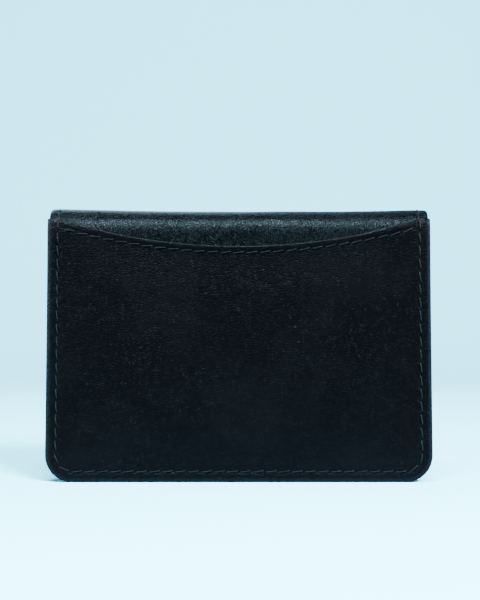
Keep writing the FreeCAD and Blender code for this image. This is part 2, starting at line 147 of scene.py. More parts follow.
def from_edge(x, s, grow=0.0, corner=CORNER, base=0.0):
    """Distance in from the sides and the free edge of an outline that is grow wider."""
    side = half_width(s) + grow - np.abs(x)
    low = s - base
    in_corner = (side < corner) & (low < corner)
    round_part = corner - np.hypot(corner - side, corner - low)
    return np.maximum(np.where(in_corner, round_part, np.minimum(side, low)), 0)


def turned(flat, middle, distance, radius):
    """A surface that bends over to the middle of the edge within a radius of it."""
    k = np.clip(distance / radius, 0, 1)
    return middle + (flat - middle) * np.sqrt(np.clip(1 - (1 - k) ** 2, 0, 1))


def smooth(t):
    t = np.clip(t, 0, 1)
    return t * t * (3 - 2 * t)


def bump(t, width):
    return np.exp(-((t / width) ** 2))


print(f"pattern {2 * half_width(0.0):.1f} mm wide at the free edge, {2 * half_width(FOLD_Z):.1f} at the fold")


# %% [markdown]
# ## Laying a piece in place
#
# A point of the pattern goes straight up its cover until the fold starts, and then round the fold.
# The third number is the distance from the fold's axis, so that a thick piece keeps its thickness.

# %% From the pattern to the frame


def lay(x, s, r, side=1):
    """Points in millimetres. side is 1 for the front cover and -1 for the back cover."""
    angle = np.clip(s - FOLD_Z, 0, None) / SHELL
    y = -r * np.cos(angle)
    z = np.where(s < FOLD_Z, s, FOLD_Z + r * np.sin(angle))
    return np.stack([x, FOLD_Y + side * y, z], axis=-1)


def waver(x, s, size, seed):
    """A slow unevenness, between about -1 and 1, over lengths of size millimetres."""
    return np.array([noise.noise(Vector((a / size, b / size, seed))) for a, b in zip(x, s)])


def fold_share(s):
    """How far round the fold a point is: 0 on the flat cover, and 1 at the top of the fold."""
    return np.clip((s - FOLD_Z) / (FOLD_TOP - FOLD_Z), 0, 1)


def midway(x):
    """1 halfway between the fold's two ends, and 0 at each of them."""
    return np.clip(1 - (x / HALF_TOP) ** 2, 0, 1)


ridge = lay(np.array([0.0]), np.array([FOLD_TOP]), np.array([SHELL]))[0]
print("the top of the fold lies at", ridge.round(2))


# %% [markdown]
# ## Cutting a piece
#
# The grid operator makes the flat piece, and extruding all its faces closes it into a slab. Then
# every point of the slab gets its place: the outline says where it is on the pattern, and the outer
# and inner surface say how far it is from the fold's axis. Rows and columns are close together at
# the edges, where the leather bends sharply, and wide apart in the middle.

# %% Cut a piece of leather or cloth
EDGE_STEPS = [0, 0.05, 0.14, 0.28, 0.48, 0.75, 1.05, 1.4, 1.75, 2.05]
EDGE_STEPS += [2.35, 2.6, 2.85, 3.15, 3.5, 4, 4.7, 5.5, 6.4]


def spread(low, high, step, low_steps=(), high_steps=()):
    """Numbers from low to high, close together at the ends that have steps of their own."""
    start = low + (low_steps[-1] if low_steps else 0)
    stop = high - (high_steps[-1] if high_steps else 0)
    count = max(2, round((stop - start) / step))
    middle = list(np.linspace(start, stop, count + 1))
    head = [low + d for d in low_steps[:-1]]
    tail = [high - d for d in reversed(high_steps[:-1])]
    return np.array(head + middle + tail)


def store(mesh, name, kind, values):
    attribute = mesh.attributes.new(name, kind, "POINT")
    key = "vector" if kind == "FLOAT_VECTOR" else "value"
    attribute.data.foreach_set(key, np.asarray(values, np.float32).ravel())


def take_out(bm, name):
    """Turns a finished bmesh into a mesh."""
    mesh = bpy.data.meshes.new(name)
    bm.to_mesh(mesh)
    bm.free()
    return mesh


def put_in_scene(name, data):
    made = bpy.data.objects.new(name, data)
    bpy.context.scene.collection.objects.link(made)
    return made


def shade(mesh, sharp_degrees):
    """Smooth, but for the edges that are sharper than an angle."""
    mesh.shade_smooth()
    mesh.set_sharp_from_angle(angle=math.radians(sharp_degrees))


def cut(name, columns, rows, outline, outer, inner, edge, side=1):
    """One closed piece. outline turns columns and rows into pattern points, outer and inner give
    its two surfaces, and edge the distance to its nearest edge."""
    bm = bmesh.new()
    bmesh.ops.create_grid(bm, x_segments=len(columns) - 1, y_segments=len(rows) - 1, size=1)
    raised = bmesh.ops.extrude_face_region(bm, geom=list(bm.faces), use_keep_orig=True)
    upper = {v for v in raised["geom"] if isinstance(v, bmesh.types.BMVert)}
    is_outer = np.array([v in upper for v in bm.verts])
    flat = np.array([v.co for v in bm.verts])
    u = np.interp(flat[:, 0], np.linspace(-1, 1, len(columns)), columns)
    v = np.interp(flat[:, 1], np.linspace(-1, 1, len(rows)), rows)
    x, s = outline(u, v)
    distance = edge(x, s)
    r = np.where(is_outer, outer(x, s, distance), inner(x, s, distance))
    for vert, point in zip(bm.verts, lay(x, s, r, side) * MM):
        vert.co = point
    bmesh.ops.recalc_face_normals(bm, faces=bm.faces)
    mesh = take_out(bm, name)
    store(mesh, "hide", "FLOAT_VECTOR", np.stack([x, s, r], axis=-1))
    store(mesh, "rim", "FLOAT", distance)
    shade(mesh, 50)
    print(f"{name}: {len(mesh.polygons)} faces")
    return put_in_scene(name, mesh)


print(f"a soft edge gets {len(EDGE_STEPS)} rows of points within {EDGE_STEPS[-1]} mm")


# %% [markdown]
# ## The seam
#
# One seam runs round both covers: down one side, along the free edge and up the other side, at the
# same distance from the edge all the way. It is worked out once, on the pattern, and every row of
# stitches and every row of needle holes reads it.

# %% Route of the cover's seam
SEAM_IN = 2.6
SEAM_UP = 3.0
SEAM_CORNER = 4.9
PITCH = 3.5


def seam_route():
    """Points down the left side, along the free edge and up the right side."""
    heights = np.linspace(FOLD_TOP, SEAM_UP + SEAM_CORNER, 160)
    left = np.stack([-(half_width(heights) - SEAM_IN), heights], axis=-1)
    turn = np.linspace(0, math.pi / 2, 12)[1:]
    centre = left[-1] + (SEAM_CORNER, 0)
    bend = centre + SEAM_CORNER * np.stack([-np.cos(turn), -np.sin(turn)], axis=-1)
    half = np.vstack([left, bend])
    return np.vstack([half, (half * (-1, 1))[::-1]])


def walk(route, pitch=PITCH):
    """Middles and directions of stitches that are spaced evenly along a route."""
    steps = np.linalg.norm(np.diff(route, axis=0), axis=1)
    along = np.concatenate([[0], np.cumsum(steps)])
    count = round(along[-1] / pitch)
    at = (np.arange(count) + 0.5) * along[-1] / count

    def point(d):
        return np.stack([np.interp(d, along, route[:, 0]), np.interp(d, along, route[:, 1])], axis=-1)

    near = 0.3
    heading = point(at + near) - point(at - near)
    heading /= np.linalg.norm(heading, axis=1)[:, None]
    return point(at), heading


def holes(at, heading):
    """A needle hole at each end of every stitch."""
    return np.vstack([at + heading * PITCH / 2, at[:1] - heading[:1] * PITCH / 2])


seam_at, seam_heading = walk(seam_route())
seam_holes = holes(seam_at, seam_heading)
print(len(seam_at), "stitches in the cover's seam")


def puckers(x, s, pierced, depth=0.2, width=0.5):
    """How far the leather is pulled in at the needle holes."""
    reach = 4 * width
    pulled = np.zeros_like(x)
    for hx, hs in pierced:
        near = (np.abs(x - hx) < reach) & (np.abs(s - hs) < reach)
        pulled[near] += depth * bump(np.hypot(x[near] - hx, s[near] - hs), width)
    return pulled


# %% [markdown]
# ## Finishes: node groups
#
# Leather isn't one colour. It has a grain of small pebbles, hair-fine scratches, a few soft scuffs and specks
# of dust, and it is polished where hands rub the edges. On the slip pocket the lighter, bluish edges are
# partly that wear and partly a painted highlight and reflection. Each of these is a node group, so that the
# fold, the pockets and the slots can share them with values of their own. A group puts out heights and masks
# only, and each material decides what to do with them.

# %% Helpers for nodes


def add(tree, kind, values=None, **settings):
    """Adds a node. values holds its inputs by name or number, as numbers or as sockets."""
    node = tree.nodes.new(kind)
    for key, setting in settings.items():
        setattr(node, key, setting)
    for key, value in (values or {}).items():
        if isinstance(value, bpy.types.NodeSocket):
            tree.links.new(value, node.inputs[key])
        else:
            node.inputs[key].default_value = value
    return node


def use(tree, made, values):
    """Places a group in a material."""
    return add(tree, "ShaderNodeGroup", values, node_tree=made)


def maths(tree, operation, first, second=0.0, clamp=False):
    return add(tree, "ShaderNodeMath", {0: first, 1: second}, operation=operation, use_clamp=clamp).outputs[0]


def times(tree, first, second):
    return maths(tree, "MULTIPLY", first, second)


def plus(tree, first, second):
    return maths(tree, "ADD", first, second)


def noisy(tree, vector, scale, detail, roughness=0.5):
    """Noise between 0 and 1."""
    values = {"Vector": vector, "Scale": scale, "Detail": detail, "Roughness": roughness}
    return add(tree, "ShaderNodeTexNoise", values).outputs["Fac"]


def remap(tree, value, low, high, to_low=0.0, to_high=1.0):
    values = {"Value": value, "From Min": low, "From Max": high, "To Min": to_low, "To Max": to_high}
    return add(tree, "ShaderNodeMapRange", values, interpolation_type="SMOOTHSTEP").outputs["Result"]


def group(name, inputs, outputs):
    """An empty node group with its sockets, and its input and output nodes."""
    tree = bpy.data.node_groups.new(name, "ShaderNodeTree")
    for label, kind, default in inputs:
        socket = tree.interface.new_socket(label, in_out="INPUT", socket_type=kind)
        if default is not None:
            socket.default_value = default
    for label in outputs:
        tree.interface.new_socket(label, in_out="OUTPUT", socket_type="NodeSocketFloat")
    return tree, tree.nodes.new("NodeGroupInput"), tree.nodes.new("NodeGroupOutput")


print("node helpers:", ", ".join(f.__name__ for f in (add, use, maths, times, plus, noisy, remap, group)))

# %% [markdown]
# The grain is a Voronoi pattern: the distance to the cell walls is high in the middle of a pebble
# and low in the valleys. Noise bends the coordinates first, because real pebbles aren't straight
# sided, and a second, finer noise roughens them.

# %% Grain


def make_grain():
    inputs = [("Vector", "NodeSocketVector", None)]
    inputs += [("Pebbles per mm", "NodeSocketFloat", 2.0), ("Pores", "NodeSocketFloat", 0.3)]
    tree, given, result = group("Pebble grain", inputs, ["Height"])
    vector = given.outputs["Vector"]
    drift = add(tree, "ShaderNodeTexNoise", {"Vector": vector, "Scale": 1.3, "Detail": 3.0}).outputs["Color"]
    shift = add(tree, "ShaderNodeVectorMath", {0: drift, 1: (0.5, 0.5, 0.5)}, operation="SUBTRACT")
    scaled = add(tree, "ShaderNodeVectorMath", {0: shift.outputs[0], "Scale": 0.55}, operation="SCALE")
    bent = add(tree, "ShaderNodeVectorMath", {0: vector, 1: scaled.outputs[0]}, operation="ADD").outputs[0]
    cells = {"Vector": bent, "Scale": given.outputs["Pebbles per mm"], "Randomness": 1.0}
    walls = add(tree, "ShaderNodeTexVoronoi", cells, feature="DISTANCE_TO_EDGE")
    domes = add(tree, "ShaderNodeTexVoronoi", cells, feature="F1")
    valley = remap(tree, walls.outputs["Distance"], 0.0, 0.22)
    dome = remap(tree, domes.outputs["Distance"], 0.75, 0.0)
    pebble = times(tree, valley, plus(tree, times(tree, dome, 0.5), 0.5))
    fine = times(tree, noisy(tree, vector, 3.6, 2.0), given.outputs["Pores"])
    tree.links.new(plus(tree, pebble, fine), result.inputs["Height"])
    return tree


GRAIN = make_grain()
print(GRAIN.name, "has", len(GRAIN.nodes), "nodes")

# %% [markdown]
# Handling leaves three kinds of mark: broad dull patches, short scratches that mostly run one way,
# and a few specks of dust.

# %% Scuffs, scratches and dust


def make_handling():
    inputs = [("Vector", "NodeSocketVector", None)]
    tree, given, result = group("Handling", inputs, ["Dull", "Scratch", "Speck"])
    vector = given.outputs["Vector"]
    tree.links.new(remap(tree, noisy(tree, vector, 0.055, 5.0, 0.6), 0.42, 0.68), result.inputs["Dull"])

    drawn_out = {"Vector": vector, "Rotation": (0, 0, 0.9), "Scale": (0.16, 2.6, 1.0)}
    hair = noisy(tree, add(tree, "ShaderNodeMapping", drawn_out).outputs[0], 1.0, 2.0)
    lines = remap(tree, hair, 0.70, 0.78)
    where = remap(tree, noisy(tree, vector, 0.09, 2.0), 0.52, 0.66)
    tree.links.new(times(tree, lines, where), result.inputs["Scratch"])

    motes = add(tree, "ShaderNodeTexVoronoi", {"Vector": vector, "Scale": 0.22, "Randomness": 1.0})
    few = add(tree, "ShaderNodeSeparateColor", {"Color": motes.outputs["Color"]})
    chosen = maths(tree, "GREATER_THAN", few.outputs[0], 0.6)
    dot = remap(tree, motes.outputs["Distance"], 0.035, 0.015)
    tree.links.new(times(tree, dot, chosen), result.inputs["Speck"])
    return tree


HANDLING = make_handling()
print(HANDLING.name, "puts out", [i.name for i in HANDLING.interface.items_tree if i.in_out == "OUTPUT"])

# %% [markdown]
# An edge is rubbed smooth and a little lighter. On the slip pocket the same mask also lays a painted
# highlight and reflection along the edges, in a pale bluish colour over a broader band. The mask reads the
# distance that each piece carries with it, and noise breaks it up, because no edge wears evenly.

# %% Edge mask for wear and painted sheen


def make_wear_and_sheen():
    inputs = [("Vector", "NodeSocketVector", None)]
    inputs += [("Distance", "NodeSocketFloat", 5.0), ("Width", "NodeSocketFloat", 0.8)]
    tree, given, result = group("Edge wear and sheen", inputs, ["Worn"])
    broken = noisy(tree, given.outputs["Vector"], 0.6, 4.0)
    reach = times(tree, given.outputs["Width"], plus(tree, broken, 0.4))
    share = maths(tree, "DIVIDE", given.outputs["Distance"], reach)
    tree.links.new(remap(tree, share, 1.0, 0.2), result.inputs["Worn"])
    return tree


WEAR_AND_SHEEN = make_wear_and_sheen()
print(WEAR_AND_SHEEN.name, "has", len(WEAR_AND_SHEEN.nodes), "nodes")

# %% [markdown]
# The lining is a plain weave: each thread goes over one and under the next. Two sine waves give the
# rounded backs of the threads in the two directions, and the sign of their product says which of
# the two is on top. An image of cloth would do it too, but it would have one fixed scale.

# %% Weave


def make_weave():
    inputs = [("Vector", "NodeSocketVector", None), ("Threads per mm", "NodeSocketFloat", 2.2)]
    tree, given, result = group("Plain weave", inputs, ["Height", "Warp"])
    parts = add(tree, "ShaderNodeSeparateXYZ", {0: given.outputs["Vector"]})
    rate = times(tree, given.outputs["Threads per mm"], math.pi)
    across = maths(tree, "SINE", times(tree, parts.outputs[0], rate))
    along = maths(tree, "SINE", times(tree, parts.outputs[1], rate))
    over = times(tree, across, along)
    warp = maths(tree, "ABSOLUTE", across)
    weft = maths(tree, "ABSOLUTE", along)
    on_top = maths(tree, "GREATER_THAN", over, 0.0)
    mix = add(tree, "ShaderNodeMix", {0: on_top, 2: warp, 3: weft}, data_type="FLOAT")
    tree.links.new(mix.outputs[0], result.inputs["Height"])
    tree.links.new(on_top, result.inputs["Warp"])
    return tree


WEAVE = make_weave()
print("node groups", [g.name for g in bpy.data.node_groups])

# %% [markdown]
# ## Finishes: materials
#
# All the leather is dyed black through, so its colour hardly changes and its gloss does the work.
# The cover's hide has the boldest pebbles and the most shine. The pockets are cut from a smoother,
# drier part of it. Black leather is never pure black: dull patches scatter a little more light.

# %% Leather
SCRATCH_COLOUR = (0.10, 0.105, 0.11, 1)
DUST_COLOUR = (0.3, 0.3, 0.29, 1)


def new_material(name):
    material = bpy.data.materials.new(name)
    material.use_nodes = True
    shader = material.node_tree.nodes["Principled BSDF"]
    return material, material.node_tree, shader


def carried(tree, name, output="Vector"):
    """Reads an attribute that the piece carries."""
    return add(tree, "ShaderNodeAttribute", attribute_name=name, attribute_type="GEOMETRY").outputs[output]


def blend_colour(tree, share, first, second):
    values = {0: share, 6: first, 7: second}
    return add(tree, "ShaderNodeMix", values, data_type="RGBA").outputs[2]


def emboss(tree, shader, height, depth):
    """Makes a height show as relief, depth millimetres deep."""
    relief = add(tree, "ShaderNodeBump", {"Height": height, "Strength": 1.0, "Distance": depth * MM})
    tree.links.new(relief.outputs[0], shader.inputs["Normal"])


def make_leather(
    name, dark, light, gloss, pebbles, pores, depth, wear_and_sheen_colour, wear_and_sheen_width=0.8, stretch=(1, 1, 1), slant=0.0
):
    """gloss is the roughness of its shiny and of its dull parts. pebbles is how many there are to a
    millimetre, and stretch draws them out, at a slant."""
    material, tree, shader = new_material(name)
    hide = carried(tree, "hide")
    values = {"Vector": hide, "Rotation": (0, 0, slant), "Scale": stretch}
    drawn = add(tree, "ShaderNodeMapping", values, vector_type="TEXTURE").outputs[0]
    grain = use(tree, GRAIN, {"Vector": drawn, "Pebbles per mm": pebbles, "Pores": pores}).outputs["Height"]
    handled = use(tree, HANDLING, {"Vector": hide})
    edge = {"Vector": hide, "Distance": carried(tree, "rim", "Fac"), "Width": wear_and_sheen_width}
    edge_wear_and_sheen = use(tree, WEAR_AND_SHEEN, edge).outputs["Worn"]

    valley = remap(tree, grain, 0.1, 0.9)
    half_valley = plus(tree, times(tree, valley, 0.5), 0.5)
    dull = times(tree, handled.outputs["Dull"], half_valley)
    colour = blend_colour(tree, dull, (*dark, 1), (*light, 1))
    # Lighter edges: edge wear, and on the slip pocket also a painted highlight and reflection.
    colour = blend_colour(tree, times(tree, edge_wear_and_sheen, 0.55), colour, (*wear_and_sheen_colour, 1))
    scratched = times(tree, handled.outputs["Scratch"], 0.22)
    colour = blend_colour(tree, scratched, colour, SCRATCH_COLOUR)
    specked = times(tree, handled.outputs["Speck"], 0.4)
    colour = blend_colour(tree, specked, colour, DUST_COLOUR)
    tree.links.new(colour, shader.inputs["Base Color"])

    rough = remap(tree, handled.outputs["Dull"], 0.0, 1.0, *gloss)
    rough = plus(tree, rough, times(tree, maths(tree, "SUBTRACT", 1.0, valley), 0.12))
    rough = maths(tree, "SUBTRACT", rough, times(tree, edge_wear_and_sheen, 0.12), clamp=True)
    tree.links.new(rough, shader.inputs["Roughness"])

    height = maths(tree, "SUBTRACT", grain, times(tree, handled.outputs["Scratch"], 0.3))
    emboss(tree, shader, height, depth)
    return material


shell_leather = make_leather(
    "shell_leather", dark=(0.0040, 0.0046, 0.0052), light=(0.0100, 0.0112, 0.0122), gloss=(0.18, 0.26),
    pebbles=1.6, pores=0.28, depth=0.095, wear_and_sheen_colour=(0.020, 0.023, 0.025),
    stretch=(0.74, 1.40, 1), slant=0.45,
)
# The slip pocket's pale, bluish edge colour over a broad band is partly edge wear and partly a painted
# highlight and reflection: down its sides, along its lip, and in a thin line at its mouth.
pocket_leather = make_leather(
    "pocket_leather", dark=(0.0042, 0.0031, 0.0036), light=(0.0074, 0.0056, 0.0062), gloss=(0.33, 0.39),
    pebbles=1.4, pores=0.35, depth=0.062, wear_and_sheen_colour=(0.050, 0.060, 0.068), wear_and_sheen_width=1.8,
    stretch=(1.05, 0.91, 1),
)
pocket_shader = pocket_leather.node_tree.nodes["Principled BSDF"]
pocket_shader.inputs["Specular IOR Level"].default_value = 0.42
pocket_shader.inputs["Specular Tint"].default_value = (1.0, 0.84, 0.83, 1)
slot_leather = make_leather(
    "slot_leather", dark=(0.0075, 0.0081, 0.0087), light=(0.0115, 0.0123, 0.0131), gloss=(0.40, 0.47),
    pebbles=1.8, pores=0.45, depth=0.036, wear_and_sheen_colour=(0.090, 0.096, 0.100), wear_and_sheen_width=0.4,
)
gusset_leather = make_leather(
    "gusset_leather", dark=(0.0080, 0.0086, 0.0092), light=(0.0150, 0.0158, 0.0166), gloss=(0.50, 0.64),
    pebbles=2.4, pores=0.6, depth=0.030, wear_and_sheen_colour=(0.060, 0.064, 0.068), wear_and_sheen_width=0.4,
)

print("leathers", [m.name for m in (shell_leather, pocket_leather, slot_leather, gusset_leather)])

# %% [markdown]
# Behind the leather are other materials. Lining cloth is dull and a little slubby. The board is
# brown pressed fibre, and shows only if a layer is taken off. The thread is waxed, so it is the
# shiniest thing here, and its two plies are ridges that run slantwise round it.

# %% Cloth, board and thread


def make_cloth(name, warp, weft, per_mm, depth, rough):
    material, tree, shader = new_material(name)
    hide = carried(tree, "hide")
    weave = use(tree, WEAVE, {"Vector": hide, "Threads per mm": per_mm})
    slub = noisy(tree, hide, 1.2, 4.0)
    threads = times(tree, weave.outputs["Warp"], 0.6)
    tone = plus(tree, threads, times(tree, slub, 0.4))
    tree.links.new(blend_colour(tree, tone, (*warp, 1), (*weft, 1)), shader.inputs["Base Color"])
    tree.links.new(remap(tree, slub, 0.3, 0.7, rough - 0.06, rough + 0.06), shader.inputs["Roughness"])
    height = plus(tree, weave.outputs["Height"], times(tree, slub, 0.3))
    emboss(tree, shader, height, depth)
    return material


def make_board():
    """Pressed leather fibre: a felt of short fibres."""
    material, tree, shader = new_material("fibre_board")
    hide = carried(tree, "hide")
    fibres = noisy(tree, hide, 3.0, 6.0, 0.7)
    colour = blend_colour(tree, remap(tree, fibres, 0.35, 0.65), (0.11, 0.075, 0.05, 1), (0.2, 0.15, 0.1, 1))
    tree.links.new(colour, shader.inputs["Base Color"])
    tree.links.new(remap(tree, fibres, 0.3, 0.7, 0.75, 0.92), shader.inputs["Roughness"])
    emboss(tree, shader, fibres, 0.05)
    return material


def make_thread():
    """Two plies that twist round each other: slanted ridges in the bump, with their crests painted lighter as
    a painted glint.
    """
    material, tree, shader = new_material("waxed_thread")
    hide = carried(tree, "hide")
    parts = add(tree, "ShaderNodeSeparateXYZ", {0: hide})
    slant = plus(tree, times(tree, parts.outputs[0], 9.0), parts.outputs[1])
    ply_and_glint = maths(tree, "ABSOLUTE", maths(tree, "SINE", slant))
    fuzz = noisy(tree, hide, 6.0, 3.0)
    # The lighter colour along the crests of the plies is a painted glint; the ridges themselves are the bump.
    colour = blend_colour(tree, ply_and_glint, (0.007, 0.007, 0.0075, 1), (0.040, 0.037, 0.038, 1))
    tree.links.new(colour, shader.inputs["Base Color"])
    tree.links.new(remap(tree, fuzz, 0.3, 0.7, 0.22, 0.38), shader.inputs["Roughness"])
    emboss(tree, shader, ply_and_glint, 0.06)
    shader.inputs["Specular IOR Level"].default_value = 0.9
    return material


lining_cloth = make_cloth("lining_cloth", (0.020, 0.022, 0.024), (0.055, 0.059, 0.064), 1.8, 0.08, 0.74)
tape_cloth = make_cloth("fold_tape_cloth", (0.03, 0.03, 0.032), (0.06, 0.06, 0.064), 1.6, 0.08, 0.85)
fibre_board = make_board()
waxed_thread = make_thread()
print("materials", [m.name for m in bpy.data.materials])


# %% [markdown]
# ## Riding, and pieces over the fold
#
# Flat pieces ride on one body. A piece that goes round the fold would have to bend as the holder opens, so it
# is split along the top of the fold, and each half covers a quarter circle of it. Here each half only has its
# transform baked into its mesh, and nothing makes it bend. Both halves follow the spine exactly at the split,
# so it doesn't open at rest.

# %% Attach pieces
COVER_WORD = {1: "front", -1: "back"}


def dress(piece, material, nodes=()):
    piece.data.materials.clear()
    piece.data.materials.append(material)
    if nodes:
        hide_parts(*nodes)
    return piece


def bend_over_fold(piece):
    """Bakes the piece's transform into its mesh. It takes no radius, and nothing here makes the piece bend.
    """
    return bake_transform(piece)


print(f"each half bends over {SHELL * math.pi / 2:.1f} mm of leather")


# %% [markdown]
# ## The outer leather
#
# The hide is turned round the board at the sides and the free edge, so its edge is round and as
# thick as the whole cover. Over the fold it isn't a perfect roll. It sags a little between its two
# ends, where nothing but the seam holds it up, and swells forward in the middle.

# %% Outer leather of both covers
FOLD_STEP = 0.19  # between the rows of points round the fold
SAG = 0.75  # of the fold, halfway between its ends
SWELL = 0.25  # forwards, in the middle
CRINKLE = 0.14  # on the swell, where the leather is squeezed
END_DROOP = 0.2  # of the fold's last 3 mm
LEAN = 0.25  # of the fold's right half
TURN = 1.0  # radius of the turned edge
HEM = 6.0  # width of the turned hem
SEAM_DENT = 0.10  # the thread pulls a shallow channel into the leather


def cover_outline(grow=0.0, corner=CORNER):
    def outline(u, v):
        return u * (half_width(v) + grow - pull_in(v, corner)), v

    return outline


def cover_columns(step=0.8):
    half = HALF_TOP
    return spread(-half, half, step, EDGE_STEPS, EDGE_STEPS) / half


def cover_rows(top=FOLD_TOP, step=0.8):
    flat = spread(0, FOLD_Z, step, EDGE_STEPS)
    fold = np.linspace(FOLD_Z, top, max(2, round((top - FOLD_Z) / FOLD_STEP)) + 1)[1:]
    return np.concatenate([flat, fold])


def sag(x, s):
    return SAG * midway(x) * smooth(fold_share(s))


def squeezed(x, s):
    """The front of the fold swells in the middle, and crinkles there."""
    swell = SWELL * bump(x - 2, 30) * bump(s - FOLD_Z - 2.5, 4.5)
    crinkle = CRINKLE * waver(x, s * 0.45, 1.7, 12.0)
    return swell + crinkle * bump(x - 4, 14) * bump(s - FOLD_Z - 1, 4)


def shell_surface(side):
    """The outer leather's outside, as a function of the pattern."""

    def surface(x, s, distance):
        r = SHELL - sag(x, s) - LEAN * smooth((x + 10) / 60) * smooth(fold_share(s))
        r = r + squeezed(x, s) * (side > 0)
        ends = np.clip(1 - (half_width(s) - np.abs(x)) / 3.2, 0, 1)
        r = r - END_DROOP * ends**2 * smooth(fold_share(s) * 1.6)
        r = r + 0.05 * waver(x, s, 9, 3.0 + side) + 0.06 * waver(x, s, 24, 8.0 + side)
        r = r - SEAM_DENT * bump(distance - SEAM_IN, 0.5) - puckers(x, s, seam_holes)
        return turned(r, (SHELL + HEM_BACK) / 2, distance, TURN)

    return surface


def shell_inside(x, s, distance):
    hem = HEM_BACK + (SHELL_BACK - HEM_BACK) * smooth((distance - HEM) / 0.8)
    return turned(hem - sag(x, s), (SHELL + HEM_BACK) / 2, distance, 0.6)


def cut_shell(name, side, nodes):
    piece = cut(
        name, cover_columns(), cover_rows(), cover_outline(), shell_surface(side), shell_inside,
        from_edge, side,
    )
    dress(piece, shell_leather, nodes)
    return bend_over_fold(piece)


cut_shell("front_hide", 1, ["front_shell", "spine_shell"])
cut_shell("back_hide", -1, ["back_shell"])

# %% [markdown]
# ## Board, tape and lining
#
# A thin fibre board stiffens each cover, a tape carries on from it round the fold, and cloth covers
# both. They are hidden, or seen only when the holder opens, so plain slabs with soft edges do.

# %% Hidden stiffeners and lining
BOARD_IN = HEM + 1.0
LINING_IN = 1.3
TAPE_LAP = 1.3  # how far the tape reaches down the flat cover


def inset_edge(inset):
    def edge(x, s):
        return from_edge(x, s, -inset, max(CORNER - inset, 0.5), inset)

    return edge


def inset_outline(inset):
    corner = max(CORNER - inset, 0.5)

    def outline(u, v):
        return u * (half_width(v) - inset - pull_in(v - inset, corner)), v

    return outline


def level(r, sagging=False, middle=None, radius=0.25):
    """A flat surface at a distance from the axis. If it is sagging it follows the fold's sag."""

    def surface(x, s, distance):
        sunk = r - sagging * sag(x, s)
        return sunk if middle is None else turned(sunk, middle, distance, radius)

    return surface


def cut_board(side):
    word = COVER_WORD[side]
    columns = np.linspace(-1, 1, 24)
    board = cut(
        f"{word}_stiffener", columns, spread(BOARD_IN, FOLD_Z - TAPE_LAP - 0.1, 4), inset_outline(BOARD_IN),
        level(SHELL_BACK - 0.04, sagging=True), level(BOARD_BACK, sagging=True), inset_edge(BOARD_IN), side,
    )
    dress(board, fibre_board, [f"{word}_board"])
    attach(board, f"{word}_cover")
    tape = cut(
        f"{word}_tape", columns, np.linspace(FOLD_Z - TAPE_LAP, FOLD_TOP, 60), inset_outline(BOARD_IN),
        level(SHELL_BACK - 0.06, sagging=True), level(BOARD_BACK, sagging=True), inset_edge(BOARD_IN), side,
    )
    tapes = [f"{word}_fold_tape"] + (["spine_tape"] if side > 0 else [])
    dress(tape, tape_cloth, tapes)
    bend_over_fold(tape)


def cut_lining(side):
    word = COVER_WORD[side]
    fold_rows = np.linspace(FOLD_Z, FOLD_TOP, 60)[1:]
    rows = np.concatenate([spread(LINING_IN, FOLD_Z, 2, EDGE_STEPS[:6]), fold_rows])
    columns = spread(-HALF_TOP, HALF_TOP, 2, EDGE_STEPS[:6], EDGE_STEPS[:6]) / HALF_TOP
    middle = (HEM_BACK + LINING_BACK) / 2
    lining = cut(
        f"{word}_lining_cloth", columns, rows, inset_outline(LINING_IN),
        level(HEM_BACK - 0.01, sagging=True), level(LINING_BACK, sagging=True, middle=middle, radius=0.2),
        inset_edge(LINING_IN), side,
    )
    dress(lining, lining_cloth, [f"{word}_lining"] + (["spine_lining"] if side > 0 else []))
    bend_over_fold(lining)


for side in (1, -1):
    cut_board(side)
    cut_lining(side)

# %% [markdown]
# ## The slip pocket
#
# The slip pocket is the face that people see. Its leather is turned in at the sides and the free
# edge, and its mouth is a shallow hollow cut on a large circle. The turned hem behind the mouth
# makes a low ridge down to the line of stitches. The face swells slightly between its seams.

# %% Slip pocket
POCKET_GROW = pocket_high[0] - HALF_TOP - FLARE
POCKET_TOP = pocket_high[2]
POCKET_MIDDLE = (POCKET_FACE + POCKET_BACK) / 2
MOUTH_HALF = 48.0
MOUTH_DIP = 7.0
MOUTH_RADIUS = (MOUTH_HALF**2 + MOUTH_DIP**2) / (2 * MOUTH_DIP)
MOUTH_SEAM = 1.75  # from the mouth to its stitches
BELLY = 0.45  # how far the middle of the face stands out
MOUTH_LIFT = 0.12  # of the mouth's middle
HEM_RIDGE = 0.12  # where the mouth's turned hem lies behind


def mouth_dip(x):
    """How far the mouth lies below the pocket's upper corners."""
    return np.clip(np.sqrt(MOUTH_RADIUS**2 - x**2) - (MOUTH_RADIUS - MOUTH_DIP), 0, None)


def below_mouth(x, s):
    slope = np.where(np.abs(x) < MOUTH_HALF, x / np.sqrt(MOUTH_RADIUS**2 - x**2), 0)
    return (POCKET_TOP - mouth_dip(x) - s) / np.sqrt(1 + slope**2)


def pocket_outline(u, v):
    x = u * (half_width(v) + POCKET_GROW - pull_in(v, CORNER))
    follow = np.clip((v - 25) / (POCKET_TOP - 25), 0, 1) ** 1.5
    return x, v - mouth_dip(x) * follow


def mouth_seam_route():
    x = np.linspace(-(HALF_TOP - SEAM_IN - 1.5), HALF_TOP - SEAM_IN - 1.5, 120)
    spare = MOUTH_SEAM + 0.6 * (x / MOUTH_HALF) ** 4
    return np.stack([x, POCKET_TOP - mouth_dip(x) - spare], axis=-1)


mouth_at, mouth_heading = walk(mouth_seam_route())
mouth_holes = holes(mouth_at, mouth_heading)


def pocket_edge(x, s):
    """Distance from the edge for the mask of wear and painted sheen. The mouth is sharp, so its line of wear
    and painted highlight is thinner.
    """
    return np.minimum(from_edge(x, s, POCKET_GROW), 5 * np.maximum(below_mouth(x, s), 0))


